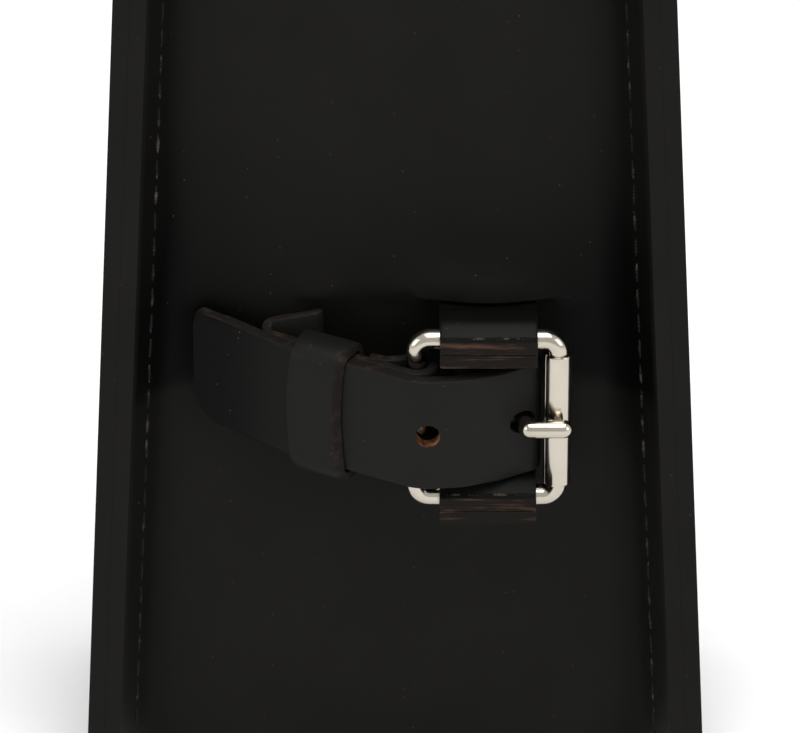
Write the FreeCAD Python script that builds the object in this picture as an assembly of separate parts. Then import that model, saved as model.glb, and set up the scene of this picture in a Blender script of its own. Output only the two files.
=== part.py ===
import FreeCAD, Part
import math
import os

# Side wall of a leather bag with a buckled strap threaded through it.
# Millimetres. X runs across the wall, Y points into the bag, Z is up.
# Z = 0 is the lower cut end, X = 0 the middle of the wall, Y = 0 the outer face of its floor.

os.makedirs("parts", exist_ok=True)

# Wall section
wall_height = 170.0
width_at_bottom = 118.4
width_at_top = 101.0
panel_depth = 38.0
panel_thick = 2.8
gusset_thick = 2.6
rim_rise = 11.0
flare_angle = 30.0
floor_bend_radius = 8.0
panel_bend_radius = 6.0
patch_thick = 1.6
patch_left = -24.0
patch_right = 34.0
patch_half_height = 31.0
trim_allowance = 2.0

# Buckle
buckle_height = 78.0
frame_stand_off = 11.5
bar_left = 3.9
bar_right = 30.2
frame_half_height = 16.4
wire_radius = 2.0
frame_corner_radius = 2.6
roller_wall = 0.55
running_gap = 0.05
roller_radius = wire_radius + running_gap + roller_wall
roller_end_gap = 0.2
prong_radius = 1.5
prong_tip_radius = 1.75
prong_hub_thick = 1.9
prong_hub_width = 3.8
prong_rest_gap = 0.3
prong_heel_run = 3.0
prong_heel_sink = 0.8
prong_neck_run = 17.6
prong_neck_sink = 3.0
prong_bend_back = 5.2
prong_tip_past_bar = 1.0

# Straps
strap_width = 22.5
billet_thick = 2.8
chape_thick = 2.0
layer_gap = 0.15
strap_slope = 0.4245
strap_drift = 0.09
fold_gap = 0.15
foot_gap = 0.05
slot_gap = 0.3
straight_right_x = -3.0
straight_left_x = -21.0

# Billet
billet_slot_x = 12.5
billet_slot_bend = 1.8
billet_sewn_end_x = 1.0
billet_floor_gap = 0.2
roller_side_gap = 0.45
billet_turn_bend = 3.2
billet_top_bend = 2.2
billet_top_drop = 1.0
shoulder_x = 18.9
shoulder_rise = 3.1
shoulder_bend = 10.0
brow_x = 12.6
brow_rise = 5.6
brow_bend = 9.0
crest_past_bar = 0.5
crest_bend = 8.0
tip_turn_x = -30.5
tip_turn_rise = 4.7
tip_turn_bend = 15.0
billet_tip_x = -37.6
billet_tip_rise = 7.0
billet_tip_gap = 0.3
tip_round = 9.0
tip_round_rise = 2.3
tip_round_reach = 6.2
tip_trim = 6.0
tool_length = 60.0
hole_diameter = 4.5
punch_length = 12.0
prong_hole_x = 23.0
prong_hole_above_bar = 0.6
prong_hole_length = 5.6
prong_hole_lean = 32.0
spare_hole_x = 6.1
spare_hole_above_bar = 9.0

# Chape
chape_slot_x = -14.3
chape_slot_shift = 5.7
chape_slot_bend = 1.3
chape_sewn_end_x = -2.0
chape_floor_gap = 0.05
loop_bend_gap = 0.25
wrap_start_angle = 113
wrap_end_angle = -111
turned_x = -1.6
turned_gap = 0.5
turned_rise = 0.3
turned_bend = 2.2
turned_end_x = -4.5
turned_end_gap = 0.3
turned_end_rise = 0.5
prong_slot_gap = 0.4
prong_slot_right = 5.8
prong_slot_top = 6.0
prong_slot_depth = 12.0

# Keeper
keeper_thick = 2.0
keeper_length = 10.4
keeper_x = -13.4
keeper_gap = 0.35
keeper_side_gap = 0.5
keeper_corner = 4.0
keeper_inner_corner = 0.8

# Hanger tabs
tab_thick = 2.6
tab_left = 8.3
tab_right = 26.3
tab_front_past_bar = 6.6
tab_foot_reach = 28.0
tab_bar_gap = 0.1
tab_lip_gap = 0.02
tab_lip_start = 4.4
tab_lip_bend = 2.0
tab_bulge_start = 1.5
tab_bulge_start_bend = 2.2
tab_bulge_end = 2.0
tab_bulge_end_bend = 2.6
tab_neck_start = 7.0
tab_neck_bend = 2.6
tab_foot_bend = 1.6

# Thread
thread_thick = 0.7
seam_pitch = 5.3
seam_stitch = 3.7
seam_from_rim = 5.7
seam_end_margin = 3.0
small_pitch = 4.4
small_stitch = 3.0
tab_stitches = 4
tab_seam_inset = 1.5
fold_seam_x = -2.9
fold_stitches = 5
keeper_stitches = 2
chape_anchor_x = -7.5
chape_anchor_stitches = 2
billet_anchor_x = 6.0
billet_anchor_stitches = 4
bend_step = 12.0


def point(x, stand_off, rise=0.0):
    """A place given across, out from the wall's floor, and up from the buckle's middle."""
    return FreeCAD.Vector(x, -stand_off, buckle_height + rise)


def save(name, shape):
    """One sub-part to its own file."""
    shape.exportStep("parts/" + name + ".step")


# ---- paths of bent leather -------------------------------------------------

def rounded_path(corners):
    """Points along a line whose corners (across, out, rise, radius) are turned into arcs."""
    path = [corners[0][:3]]
    for before, here, after in zip(corners, corners[1:], corners[2:]):
        path.extend(corner_arc(before, here, after))
    path.append(corners[-1][:3])
    return path


def corner_arc(before, here, after):
    """The points of one rounded corner."""
    radius = here[3]
    arrive = FreeCAD.Vector(here[0] - before[0], here[1] - before[1], 0).normalize()
    leave = FreeCAD.Vector(after[0] - here[0], after[1] - here[1], 0).normalize()
    turn = math.atan2(arrive.cross(leave).z, arrive.dot(leave))
    if radius == 0 or abs(turn) < 0.01:
        return [here[:3]]
    tangent = radius * math.tan(abs(turn) / 2)
    rise_in = (here[2] - before[2]) / math.dist(before[:2], here[:2])
    rise_out = (after[2] - here[2]) / math.dist(here[:2], after[:2])
    side = math.copysign(1.0, turn)
    start = FreeCAD.Vector(here[0], here[1], 0) - arrive * tangent
    centre = start + FreeCAD.Vector(-arrive.y, arrive.x, 0) * radius * side
    steps = max(2, math.ceil(math.degrees(abs(turn)) / bend_step))
    low = here[2] - rise_in * tangent
    high = here[2] + rise_out * tangent
    points = []
    for index in range(steps + 1):
        share = index / steps
        spoke = FreeCAD.Rotation(FreeCAD.Vector(0, 0, 1), math.degrees(turn) * share)
        place = centre + spoke.multVec(start - centre)
        points.append((place.x, place.y, low + (high - low) * share))
    return points


def path_normals(path):
    """Unit normals in the plan view, one for each point of a path."""
    normals = []
    for index in range(len(path)):
        before = path[max(index - 1, 0)]
        after = path[min(index + 1, len(path) - 1)]
        along = FreeCAD.Vector(after[0] - before[0], after[1] - before[1], 0).normalize()
        normals.append((-along.y, along.x))
    return normals


def strap_along(path, thick, width):
    """A flat strap whose middle follows a path, edges upright."""
    sections = []
    for (x, out, rise), (nx, ny) in zip(path, path_normals(path)):
        shift_x = nx * thick / 2
        shift_out = ny * thick / 2
        low = rise - width / 2
        high = rise + width / 2
        ring = [
            point(x + shift_x, out + shift_out, low),
            point(x - shift_x, out - shift_out, low),
            point(x - shift_x, out - shift_out, high),
            point(x + shift_x, out + shift_out, high),
        ]
        sections.append(Part.makePolygon(ring + ring[:1]))
    return Part.makeLoft(sections, True, True)


def leaf_along(path, thick, left, right):
    """A leather leaf whose middle follows a path in the upright plane, cut between two sides."""
    near = []
    far = []
    for (rise, out, _), (nx, ny) in zip(path, path_normals(path)):
        near.append(point(left, out + ny * thick / 2, rise + nx * thick / 2))
        far.append(point(left, out - ny * thick / 2, rise - nx * thick / 2))
    ring = near + far[::-1]
    face = Part.Face(Part.makePolygon(ring + ring[:1]))
    return face.extrude(FreeCAD.Vector(right - left, 0, 0))


# ---- thread ----------------------------------------------------------------

def running_stitch(start, along, through, count, pitch, stitch, rise):
    """One running thread: it lies on one face, passes through, lies on the other, and so on."""
    across = along.cross(through).normalize()
    upper = []
    lower = []
    for index in range(count):
        near = index * pitch
        far = near + stitch
        upper.append((near, -rise if index else -rise - thread_thick))
        upper.append((near, rise + thread_thick))
        upper.append((far, rise + thread_thick))
        upper.append((far, -rise if index < count - 1 else -rise - thread_thick))
        lower.append((near + thread_thick, -rise - thread_thick))
        lower.append((near + thread_thick, rise))
        lower.append((far - thread_thick, rise))
        lower.append((far - thread_thick, -rise - thread_thick))
    corners = upper + lower[::-1]
    base = start - across * thread_thick / 2
    ring = [base + along * a + through * b for a, b in corners]
    face = Part.Face(Part.makePolygon(ring + ring[:1]))
    return face.extrude(across * thread_thick)


# ---- wall ------------------------------------------------------------------

def half_width(height):
    """Half the wall's width at a height above the lower cut end."""
    share = height / wall_height
    return (width_at_bottom + (width_at_top - width_at_bottom) * share) / 2


flare = math.radians(flare_angle)
flare_length = (rim_rise - floor_bend_radius * (1 - math.sin(flare))) / math.cos(flare)
rim_step = 1 / math.cos(flare)


def flare_point(inset, depth):
    """A place on the flared rim: inset from its outer edge, depth measured down the slope."""
    return (inset * rim_step + depth * math.sin(flare), -rim_rise + depth * math.cos(flare))


def side_band_wire(height, side, outer_inset, inner_inset, tail):
    """Cross-section wire of a leather band: straight on the rim, then a tail of points."""
    reach = half_width(height)
    ring = [flare_point(outer_inset, 0), flare_point(inner_inset, 0)] + tail
    places = [FreeCAD.Vector(side * (reach - inset), y, height) for inset, y in ring]
    return Part.makePolygon(places + places[:1])


def bend_points(centre, radius, start, end):
    """Points of an arc in inset and Y, angles in degrees."""
    steps = max(2, math.ceil(abs(end - start) / bend_step))
    points = []
    for index in range(steps + 1):
        angle = math.radians(start + (end - start) * index / steps)
        points.append((centre[0] + radius * math.cos(angle), centre[1] + radius * math.sin(angle)))
    return points


def panel(side):
    """Bag wall whose front edge flares outwards to meet the turned edge of the side wall."""
    inner_radius = panel_bend_radius
    outer_radius = panel_bend_radius - panel_thick
    bend_start = flare_point(panel_thick, flare_length)
    centre = (
        bend_start[0] - inner_radius * math.cos(flare),
        bend_start[1] + inner_radius * math.sin(flare),
    )
    inner = bend_points(centre, inner_radius, -flare_angle, 0)
    outer = bend_points(centre, outer_radius, 0, -flare_angle)
    deep = panel_depth + trim_allowance
    tail = inner + [(inner[-1][0], deep), (outer[0][0], deep)] + outer
    wires = [side_band_wire(height, side, 0, panel_thick, tail) for height in (0, wall_height)]
    corner = FreeCAD.Vector(-width_at_bottom, panel_depth, -trim_allowance)
    beyond = Part.makeBox(2 * width_at_bottom, deep, wall_height + 2 * trim_allowance, corner)
    return Part.makeLoft(wires, True, True).cut(beyond)


def gusset_side_points():
    """Half of the side wall's section, front face first, then its back face."""
    both = panel_thick + gusset_thick
    front_start = flare_point(both, flare_length)
    centre = (
        front_start[0] + floor_bend_radius * math.cos(flare),
        front_start[1] - floor_bend_radius * math.sin(flare),
    )
    back_radius = floor_bend_radius + gusset_thick
    front = bend_points(centre, floor_bend_radius, 180 - flare_angle, 90)
    back = bend_points(centre, back_radius, 180 - flare_angle, 90)
    front = [flare_point(both, 0)] + front
    back = [flare_point(panel_thick, 0)] + back
    return front, back


def gusset_wire(height):
    """Whole section of the side wall at a height."""
    front, back = gusset_side_points()
    reach = half_width(height)
    left_front = [(inset - reach, y) for inset, y in front]
    right_front = [(reach - inset, y) for inset, y in front[::-1]]
    right_back = [(reach - inset, y) for inset, y in back]
    left_back = [(inset - reach, y) for inset, y in back[::-1]]
    ring = left_front + right_front + right_back + left_back
    places = [FreeCAD.Vector(x, y, height) for x, y in ring]
    return Part.makePolygon(places + places[:1])


def wall_slot(left, right, low, high):
    """Cutter for a slit through the floor of the side wall and the patch behind it."""
    depth = gusset_thick + patch_thick + 2 * trim_allowance
    corner = FreeCAD.Vector(left, -trim_allowance, buckle_height + low)
    return Part.makeBox(right - left, depth, high - low, corner)


def wall_slots():
    """Every opening the straps and tabs pass through."""
    chape_reach = strap_width / 2 + slot_gap
    billet_half = billet_thick / 2 + slot_gap
    tab_half = tab_thick + slot_gap
    chape_half = chape_thick / 2 + slot_gap
    slots = [
        wall_slot(
            chape_slot_x - chape_half,
            chape_slot_x + chape_half,
            chape_slot_shift - chape_reach - slot_gap,
            chape_slot_shift + chape_reach + slot_gap,
        ),
        wall_slot(billet_slot_x - billet_half, billet_slot_x + billet_half, -chape_reach, chape_reach),
    ]
    for side in (1, -1):
        middle = side * frame_half_height
        slots.append(wall_slot(tab_left - slot_gap, tab_right + slot_gap, middle - tab_half, middle + tab_half))
    return slots


def side_wall():
    """Turned-edge side wall sheet with the slots cut in it."""
    sheet = Part.makeLoft([gusset_wire(0), gusset_wire(wall_height)], True, True)
    return sheet.cut(wall_slots())


def backing_patch():
    """Second leather behind the floor that takes the pull of the straps."""
    corner = FreeCAD.Vector(patch_left, gusset_thick, buckle_height - patch_half_height)
    sheet = Part.makeBox(patch_right - patch_left, patch_thick, 2 * patch_half_height, corner)
    return sheet.cut(wall_slots())


def seam_thread(side):
    """The seam that joins the side wall's turned edge to the panel."""
    both = panel_thick + gusset_thick
    inset, y = flare_point(both / 2, seam_from_rim)
    low = FreeCAD.Vector(side * (half_width(0) - inset), y, 0)
    high = FreeCAD.Vector(side * (half_width(wall_height) - inset), y, wall_height)
    along = (high - low).normalize()
    down_slope = FreeCAD.Vector(-side * math.sin(flare), math.cos(flare), 0)
    through = along.cross(down_slope).normalize()
    count = int((wall_height - 2 * seam_end_margin + seam_pitch - seam_stitch) / seam_pitch)
    start = low + along * seam_end_margin
    return running_stitch(start, along, through, count, seam_pitch, seam_stitch, both / 2 - thread_thick / 2)


# ---- buckle ----------------------------------------------------------------

def buckle_frame():
    """Closed rectangle of round wire with rounded corners."""
    corner = frame_corner_radius
    top = frame_half_height
    corners = [
        (bar_right, top, 0),
        (bar_left, top, 90),
        (bar_left, -top, 180),
        (bar_right, -top, 270),
    ]
    edges = []
    arcs = []
    for x, rise, start in corners:
        cx = x - math.copysign(corner, x - (bar_left + bar_right) / 2)
        cz = rise - math.copysign(corner, rise)
        centre = point(cx, frame_stand_off, cz)
        ends = []
        for angle in (start, start + 45, start + 90):
            spoke = math.radians(angle)
            ends.append(centre + FreeCAD.Vector(corner * math.cos(spoke), 0, corner * math.sin(spoke)))
        arcs.append(ends)
    for index, ends in enumerate(arcs):
        following = arcs[(index + 1) % len(arcs)]
        edges.append(Part.Arc(*ends).toShape())
        edges.append(Part.LineSegment(ends[2], following[0]).toShape())
    solids = []
    for edge in edges:
        start = edge.valueAt(edge.FirstParameter)
        tangent = edge.tangentAt(edge.FirstParameter)
        disc = Part.Face(Part.Wire(Part.makeCircle(wire_radius, start, tangent)))
        solids.append(Part.Wire(edge).makePipe(disc))
    return solids[0].fuse(solids[1:]).removeSplitter()


def roller():
    """Rolled metal tube that turns on the frame's far bar."""
    length = 2 * (frame_half_height - frame_corner_radius - roller_end_gap)
    base = point(bar_right, frame_stand_off, -length / 2)
    up = FreeCAD.Vector(0, 0, 1)
    tube = Part.makeCylinder(roller_radius, length, base, up)
    bore = Part.makeCylinder(roller_radius - roller_wall, length, base, up)
    return tube.cut(bore)


def rod_through(places, radii):
    """Round rod with ball joints at its bends."""
    pieces = [Part.makeSphere(radii[0], places[0])]
    for start, end, near, far in zip(places, places[1:], radii, radii[1:]):
        run = end - start
        if near == far:
            pieces.append(Part.makeCylinder(near, run.Length, start, run))
        else:
            pieces.append(Part.makeCone(near, far, run.Length, start, run))
        pieces.append(Part.makeSphere(far, end))
    return pieces[0].fuse(pieces[1:])


def prong():
    """Tongue with a rolled eye round the near bar and a tip that rests on the roller."""
    eye_radius = wire_radius + running_gap + prong_hub_thick
    base = point(bar_left, frame_stand_off, -prong_hub_width / 2)
    up = FreeCAD.Vector(0, 0, 1)
    eye = Part.makeCylinder(eye_radius, prong_hub_width, base, up)
    rest = frame_stand_off + roller_radius + prong_rest_gap + prong_tip_radius
    arm = rod_through(
        [
            point(bar_left + prong_heel_run, frame_stand_off - prong_heel_sink),
            point(bar_left + prong_neck_run, frame_stand_off - prong_neck_sink),
            point(bar_right - prong_bend_back, rest),
            point(bar_right + prong_tip_past_bar, rest),
        ],
        [prong_radius, prong_radius, prong_tip_radius, prong_tip_radius],
    )
    bore = Part.makeCylinder(wire_radius + running_gap, prong_hub_width, base, up)
    return eye.fuse(arm).cut(bore)


# ---- straps ----------------------------------------------------------------

slope_stretch = math.hypot(1, strap_slope)
layer_step = (billet_thick + chape_thick) / 2 + layer_gap
wrap_radius = wire_radius + fold_gap + chape_thick / 2
bar_crown = frame_stand_off + (wrap_radius + layer_step) * slope_stretch


def billet_line(x):
    """Stand-off of the straight part of the billet's middle, which lies on the fold at the bar."""
    return bar_crown + (x - bar_left) * strap_slope


def chape_line(x):
    """Stand-off of the chape's middle where it runs under the billet."""
    return billet_line(x) - layer_step * slope_stretch


def drift(x):
    """How far the straps climb as they run left from the buckle."""
    return strap_drift * max(0.0, bar_left + crest_past_bar - x)


def billet_path():
    """Middle of the billet from its sewn end inside the bag to its free tip."""
    inside = -(gusset_thick + patch_thick + billet_thick / 2 + foot_gap)
    behind = billet_thick / 2 + billet_floor_gap
    crest = bar_left + crest_past_bar
    turn_x = bar_right - roller_radius - billet_thick / 2 - roller_side_gap
    return rounded_path(
        [
            (billet_sewn_end_x, inside, 0, 0),
            (billet_slot_x, inside, 0, billet_slot_bend),
            (billet_slot_x, behind, 0, billet_slot_bend),
            (turn_x, behind, 0, billet_turn_bend),
            (turn_x, frame_stand_off - billet_top_drop, 0, billet_top_bend),
            (shoulder_x, frame_stand_off + shoulder_rise, 0, shoulder_bend),
            (brow_x, frame_stand_off + brow_rise, 0, brow_bend),
            (crest, billet_line(crest), 0, crest_bend),
            (straight_right_x, billet_line(straight_right_x), drift(straight_right_x), 0),
            (straight_left_x, billet_line(straight_left_x), drift(straight_left_x), 0),
            (tip_turn_x, billet_line(tip_turn_x), tip_turn_rise, tip_turn_bend),
            (billet_tip_x, billet_thick / 2 + billet_tip_gap, billet_tip_rise, 0),
        ]
    )


def hole_tool(x, out, rise, lean, length):
    """Round-ended punch for a hole across the billet."""
    radius = hole_diameter / 2
    direction = FreeCAD.Vector(math.sin(lean), -math.cos(lean), 0)
    along = FreeCAD.Vector(math.cos(lean), math.sin(lean), 0)
    middle = point(x, out, rise) - direction * punch_length / 2
    half = (length - hole_diameter) / 2
    ends = [middle + along * half, middle - along * half]
    tools = [Part.makeCylinder(radius, punch_length, end, direction) for end in ends]
    if half > 0:
        slab = Part.makeBox(2 * half, hole_diameter, punch_length)
        turn = FreeCAD.Rotation(along, FreeCAD.Vector(0, 0, 1), direction, "XYZ")
        slab.Placement = FreeCAD.Placement(ends[1] - FreeCAD.Vector(0, 0, radius), turn)
        tools.append(slab)
    return tools[0].fuse(tools[1:])


def billet_tip_tool():
    """What the tip leaves off: its lower corner is rounded and its upper one is square."""
    low = point(billet_tip_x - tip_trim, tool_length / 2, tip_round_rise - strap_width)
    block = Part.makeBox(tip_round_reach + tip_trim, tool_length, 2 * strap_width, low)
    kept_corner = point(billet_tip_x, tool_length / 2, tip_round_rise)
    kept = Part.makeBox(tip_round_reach, tool_length, 2 * strap_width, kept_corner)
    centre = point(billet_tip_x + tip_round, -tool_length, tip_round_rise)
    disc = Part.makeCylinder(tip_round, 2 * tool_length, centre, FreeCAD.Vector(0, -1, 0))
    return block.cut([disc, kept])


def billet():
    """Free strap: sewn inside, out through its slot, round and over the buckle to its tip."""
    strap = strap_along(billet_path(), billet_thick, strap_width)
    lean = math.radians(prong_hole_lean)
    prong_out = frame_stand_off + prong_hole_above_bar
    prong_hole = hole_tool(prong_hole_x, prong_out, 0, lean, prong_hole_length)
    spare_hole = hole_tool(spare_hole_x, frame_stand_off + spare_hole_above_bar, 0, 0, hole_diameter)
    return strap.cut([prong_hole, spare_hole, billet_tip_tool()])


def chape_path():
    """Middle of the chape from its sewn end inside the bag, round the near bar, to its turned end."""
    inside = -(gusset_thick + patch_thick + chape_thick / 2 + foot_gap)
    behind = chape_thick / 2 + chape_floor_gap
    loop_x = bar_left + (behind - chape_line(bar_left)) / strap_slope
    rounded = rounded_path(
        [
            (chape_sewn_end_x, inside, chape_slot_shift, 0),
            (chape_slot_x, inside, chape_slot_shift, chape_slot_bend),
            (chape_slot_x, behind, chape_slot_shift, chape_slot_bend),
            (loop_x, behind, drift(loop_x), chape_thick / 2 + loop_bend_gap),
            (straight_right_x, chape_line(straight_right_x), drift(straight_right_x), 0),
        ]
    )
    around = []
    for angle in range(wrap_start_angle, wrap_end_angle, -int(bend_step)):
        spoke = math.radians(angle)
        x = bar_left + wrap_radius * math.cos(spoke)
        around.append((x, frame_stand_off + wrap_radius * math.sin(spoke), drift(x) / 2))
    turned_out = chape_line(turned_x) - (chape_thick + turned_gap) * slope_stretch
    turned_end_out = chape_line(turned_end_x) - (chape_thick + turned_end_gap) * slope_stretch
    turned = rounded_path(
        [
            around[-1] + (0,),
            (turned_x, turned_out, turned_rise, turned_bend),
            (turned_end_x, turned_end_out, turned_end_rise, 0),
        ]
    )
    return rounded + around + turned[1:]


def chape():
    """Strap that holds the buckle: sewn inside, out through its slot, looped and folded round the bar."""
    strap = strap_along(chape_path(), chape_thick, strap_width)
    width = prong_hub_width + 2 * prong_slot_gap
    left = wire_radius + running_gap + prong_hub_thick + prong_slot_gap / 2
    corner = point(bar_left - left, frame_stand_off + prong_slot_top, -width / 2)
    slot = Part.makeBox(left + prong_slot_right, prong_slot_depth, width, corner)
    return strap.cut(slot)


# ---- keeper ----------------------------------------------------------------

def keeper_axes():
    """Directions along the straps, out from them, and across them at the keeper."""
    right = point(straight_right_x, billet_line(straight_right_x), drift(straight_right_x))
    left = point(straight_left_x, billet_line(straight_left_x), drift(straight_left_x))
    along = (right - left).normalize()
    out = FreeCAD.Vector(0, 0, 1).cross(along).normalize() * -1
    across = along.cross(out).normalize()
    return along, out, across


def keeper_middle():
    """Middle of the two strap layers where the keeper sits at rest."""
    stack = billet_line(keeper_x) + chape_line(keeper_x)
    shift = (billet_thick - chape_thick) / 4 * slope_stretch
    return point(keeper_x, stack / 2 + shift, drift(keeper_x))


def rounded_block(depth, height, corner):
    """Rounded rectangle prism in the keeper's directions, centred on its middle."""
    along, out, across = keeper_axes()
    block = Part.makeBox(keeper_length, depth, height, FreeCAD.Vector(-keeper_length / 2, -depth / 2, -height / 2))
    long_edges = [
        edge
        for edge in block.Edges
        if abs(edge.tangentAt(edge.FirstParameter).x) > 0.9
    ]
    block = block.makeFillet(corner, long_edges)
    turn = FreeCAD.Rotation(along, out, across, "XYZ")
    block.Placement = FreeCAD.Placement(keeper_middle(), turn)
    return block


def keeper():
    """Leather band that holds the billet down on the chape."""
    depth = billet_thick + chape_thick + layer_gap + 2 * keeper_gap
    height = strap_width + 2 * keeper_side_gap
    inner = rounded_block(depth, height, keeper_inner_corner)
    outer = rounded_block(depth + 2 * keeper_thick, height + 2 * keeper_thick, keeper_corner)
    return outer.cut(inner)


def keeper_thread():
    """Two sunk stitches that close the keeper's butt joint on its under side."""
    along, out, across = keeper_axes()
    depth = billet_thick + chape_thick + layer_gap + 2 * keeper_gap
    wall_middle = keeper_middle() - out * (depth / 2 + keeper_thick / 2)
    length = (keeper_stitches - 1) * small_pitch + small_stitch
    start = wall_middle - across * length / 2
    rise = keeper_thick / 2 - thread_thick
    return running_stitch(start, across, out * -1, keeper_stitches, small_pitch, small_stitch, rise)


# ---- tabs ------------------------------------------------------------------

def tab_leaf_path(outer):
    """Middle of one tab leaf for the upper tab, from its front cut end to its foot inside."""
    side = 1 if outer else -1
    middle = frame_half_height
    lip = middle + side * (tab_thick / 2 + tab_lip_gap)
    bulge = middle + side * (wire_radius + tab_bar_gap + tab_thick / 2)
    inside = -(gusset_thick + patch_thick + foot_gap + tab_thick / 2)
    if not outer:
        inside -= tab_thick + foot_gap
    return rounded_path(
        [
            (lip, frame_stand_off + tab_front_past_bar, 0, 0),
            (lip, frame_stand_off + tab_lip_start, 0, tab_lip_bend),
            (bulge, frame_stand_off + tab_bulge_start, 0, tab_bulge_start_bend),
            (bulge, frame_stand_off - tab_bulge_end, 0, tab_bulge_end_bend),
            (lip, frame_stand_off - tab_neck_start, 0, tab_neck_bend),
            (lip, inside, 0, tab_foot_bend),
            (tab_foot_reach, inside, 0, 0),
        ]
    )


def mirror_down(shape):
    """The lower tab is the upper one mirrored across the buckle's middle."""
    return shape.mirror(point(0, 0, 0), FreeCAD.Vector(0, 0, 1))


def tab_leaf(outer):
    """One of the two leather leaves that straddle the frame's upper bar."""
    return leaf_along(tab_leaf_path(outer), tab_thick, tab_left, tab_right)


def tab_thread():
    """Thread that closes the two leaves in front of the bar."""
    length = (tab_stitches - 1) * small_pitch + small_stitch
    out = frame_stand_off + tab_front_past_bar - tab_seam_inset
    start = point((tab_left + tab_right - length) / 2, out, frame_half_height)
    along = FreeCAD.Vector(1, 0, 0)
    through = FreeCAD.Vector(0, 0, 1)
    rise = tab_thick - thread_thick / 2
    return running_stitch(start, along, through, tab_stitches, small_pitch, small_stitch, rise)


# ---- sewn ends -------------------------------------------------------------

def anchor_thread(x, count, strap_thick):
    """Thread that sews a strap's end inside the bag through the patch and the side wall."""
    stack = gusset_thick + patch_thick + strap_thick + foot_gap
    length = (count - 1) * small_pitch + small_stitch
    start = point(x, -stack / 2, -length / 2)
    up = FreeCAD.Vector(0, 0, 1)
    out = FreeCAD.Vector(0, -1, 0)
    return running_stitch(start, up, out, count, small_pitch, small_stitch, stack / 2 - thread_thick / 2)


def fold_thread():
    """Sunk stitches that close the chape's fold beside the bar."""
    along, out, across = keeper_axes()
    x = fold_seam_x
    middle = chape_line(x) - (chape_thick + turned_end_gap) * slope_stretch / 2
    length = (fold_stitches - 1) * small_pitch + small_stitch
    start = point(x, middle, drift(x)) - across * length / 2
    rise = chape_thick + turned_end_gap / 2 - thread_thick
    return running_stitch(start, across, out, fold_stitches, small_pitch, small_stitch, rise)


# ---- build -----------------------------------------------------------------

left_seam = seam_thread(-1)
right_seam = seam_thread(1)
chape_anchor = anchor_thread(chape_anchor_x, chape_anchor_stitches, chape_thick)
billet_anchor = anchor_thread(billet_anchor_x, billet_anchor_stitches, billet_thick)
fold_seam = fold_thread()
keeper_seam = keeper_thread()
top_stitches = tab_thread()
top_outer = tab_leaf(True)
top_inner = tab_leaf(False)

save("side_wall", side_wall().cut([left_seam, right_seam, chape_anchor, billet_anchor]))
save("left_panel", panel(-1).cut(left_seam))
save("right_panel", panel(1).cut(right_seam))
save("left_seam_thread", left_seam)
save("right_seam_thread", right_seam)
save("backing_patch", backing_patch().cut([chape_anchor, billet_anchor]))
save("chape_anchor_thread", chape_anchor)
save("billet_anchor_thread", billet_anchor)
save("billet_strap", billet().cut(billet_anchor))
save("chape_strap", chape().cut([chape_anchor, fold_seam]))
save("chape_fold_thread", fold_seam)
save("keeper_loop", keeper().cut(keeper_seam))
save("keeper_thread", keeper_seam)
save("buckle_frame", buckle_frame())
save("buckle_roller", roller())
save("buckle_prong", prong())
save("top_tab_outer_leaf", top_outer.cut(top_stitches))
save("top_tab_inner_leaf", top_inner.cut(top_stitches))
save("top_tab_thread", top_stitches)
save("bottom_tab_outer_leaf", mirror_down(top_outer.cut(top_stitches)))
save("bottom_tab_inner_leaf", mirror_down(top_inner.cut(top_stitches)))
save("bottom_tab_thread", mirror_down(top_stitches))
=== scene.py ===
import math
import random

import bmesh
import bpy
from mathutils import Matrix, Vector


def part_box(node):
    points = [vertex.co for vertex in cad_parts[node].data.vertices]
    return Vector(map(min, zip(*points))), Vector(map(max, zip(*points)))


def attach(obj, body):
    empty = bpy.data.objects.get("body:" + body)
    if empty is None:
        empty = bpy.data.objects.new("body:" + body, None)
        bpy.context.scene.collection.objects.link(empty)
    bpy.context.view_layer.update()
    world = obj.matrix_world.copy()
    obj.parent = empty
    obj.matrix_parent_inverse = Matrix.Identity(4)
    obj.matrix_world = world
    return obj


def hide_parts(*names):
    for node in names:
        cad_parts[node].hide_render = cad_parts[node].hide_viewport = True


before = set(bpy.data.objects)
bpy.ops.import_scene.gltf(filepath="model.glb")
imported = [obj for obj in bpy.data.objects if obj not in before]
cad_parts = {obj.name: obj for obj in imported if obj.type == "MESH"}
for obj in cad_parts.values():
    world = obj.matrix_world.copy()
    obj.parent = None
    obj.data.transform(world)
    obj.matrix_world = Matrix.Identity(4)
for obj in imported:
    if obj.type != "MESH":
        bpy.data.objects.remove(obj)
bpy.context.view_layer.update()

# ---- Side wall -------------------------------------------------------------
# The bag's side wall is one sheet of smooth black bridle leather. Its long edges are turned
# out to meet the big walls, and its floor is slit for the two straps and the two hanger tabs.

MM = 0.001
wall_height = 170.0
half_at_bottom = 59.2
half_at_top = 50.5
buckle_z = 78.0
rim_rise = 11.0
flare_degrees = 30
flare = math.radians(flare_degrees)
panel_thick = 2.8
wall_thick = 2.6
both_thick = panel_thick + wall_thick
bend_radius = 8.0
flare_length = (rim_rise - bend_radius * (1 - math.sin(flare))) / math.cos(flare)
strap_width = 22.5
chape_thick = 2.0
billet_thick = 2.8
chape_slit_x = -14.3
chape_slit_rise = 5.7
billet_slit_x = 12.5
frame_half = 16.4
tab_thick = 2.6
tab_left = 8.3
tab_right = 26.3
tab_middle = (tab_left + tab_right) / 2
slit_nip = 0.05
floor_half = 29.0
grid_step = 2.0


def spot(x, out, rise):
    """A place across the wall, out from its floor and up from the buckle's middle."""
    return Vector((x, -out, buckle_z + rise)) * MM


def half_width(z):
    """Half the wall's width at a height in millimetres."""
    return half_at_bottom + (half_at_top - half_at_bottom) * z / wall_height


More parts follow.
